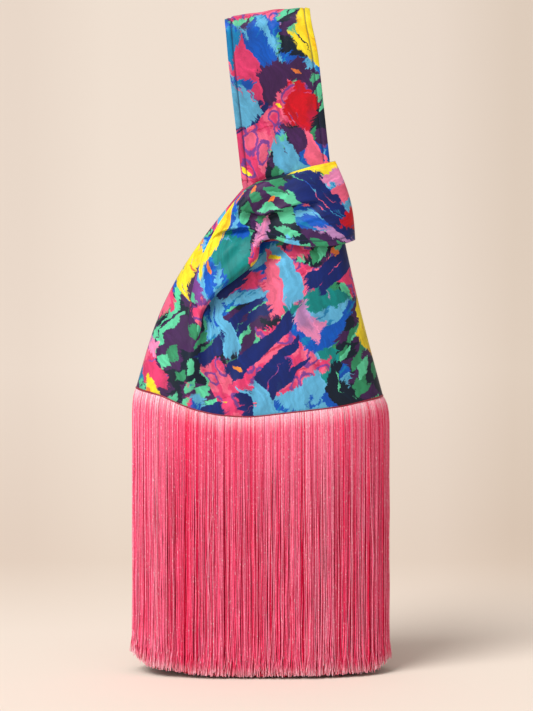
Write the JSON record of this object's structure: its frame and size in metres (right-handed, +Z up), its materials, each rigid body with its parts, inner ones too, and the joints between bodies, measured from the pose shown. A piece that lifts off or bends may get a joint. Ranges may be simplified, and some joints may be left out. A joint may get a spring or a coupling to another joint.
{
  "type": "knot bag",
  "caption": "Small cloth knot bag: a wide hand loop passes through a short loop that closes the mouth, with a long thread fringe hanging round the hem of its oval base.",
  "frame": {"origin": "middle of the underside of the hand loop's top, where a hand or a hook carries the bag", "axes": "+X to the wearer's right across the bag, +Y from the front panel to the back one, +Z up; the front faces -Y"},
  "size_m": [0.2386, 0.0886, 0.6359],
  "materials": {
    "printed_cloth": "woven cotton satin with a soft sheen and an abstract print in blue, green, purple, pink, red and yellow",
    "lining_cloth": "plain crimson lining satin",
    "header_tape": "woven tape, matte",
    "fringe_thread": "twisted viscose thread with a bright sheen"
  },
  "bodies": {
    "hand_loop": {"hand_loop_front": "printed_cloth", "hand_loop_back": "printed_cloth", "hand_loop_front_lining": "lining_cloth", "hand_loop_back_lining": "lining_cloth"},
    "bag_body": {"front_panel": "printed_cloth", "back_panel": "printed_cloth", "front_lining": "lining_cloth", "back_lining": "lining_cloth", "base_panel": "printed_cloth", "base_lining": "lining_cloth", "fringe_header_tape": "header_tape"},
    "short_loop": {"short_loop_front": "printed_cloth", "short_loop_back": "printed_cloth", "short_loop_front_lining": "lining_cloth", "short_loop_back_lining": "lining_cloth"},
    "fringe_front": {"fringe_front": "fringe_thread"},
    "fringe_back": {"fringe_back": "fringe_thread"},
    "fringe_left": {"fringe_left": "fringe_thread"},
    "fringe_right": {"fringe_right": "fringe_thread"}
  },
  "joints": [
    {"name": "hand_loop_fold", "type": "hinge", "parent": "hand_loop", "child": "bag_body", "pos_m": [0.0129, 0, -0.11689], "axis": [0.994, 0, 0.1097], "range_deg": [-80, 80]},
    {"name": "knot_slide", "type": "slide", "parent": "bag_body", "child": "short_loop", "axis": [-0.1097, 0, 0.994], "range_m": [0, 0.022]},
    {"name": "fringe_front_swing", "type": "hinge", "parent": "bag_body", "child": "fringe_front", "pos_m": [-0.00833, -0.04215, -0.37971], "axis": [-1, 0, 0], "range_deg": [-6, 25]},
    {"name": "fringe_back_swing", "type": "hinge", "parent": "bag_body", "child": "fringe_back", "pos_m": [-0.00833, 0.04215, -0.37971], "axis": [1, 0, 0], "range_deg": [-6, 25]},
    {"name": "fringe_left_swing", "type": "hinge", "parent": "bag_body", "child": "fringe_left", "pos_m": [-0.12563, 0, -0.35651], "axis": [0, 1, 0], "range_deg": [0, 20]},
    {"name": "fringe_right_swing", "type": "hinge", "parent": "bag_body", "child": "fringe_right", "pos_m": [0.10897, 0, -0.36411], "axis": [0, -1, 0], "range_deg": [0, 20]}
  ]
}
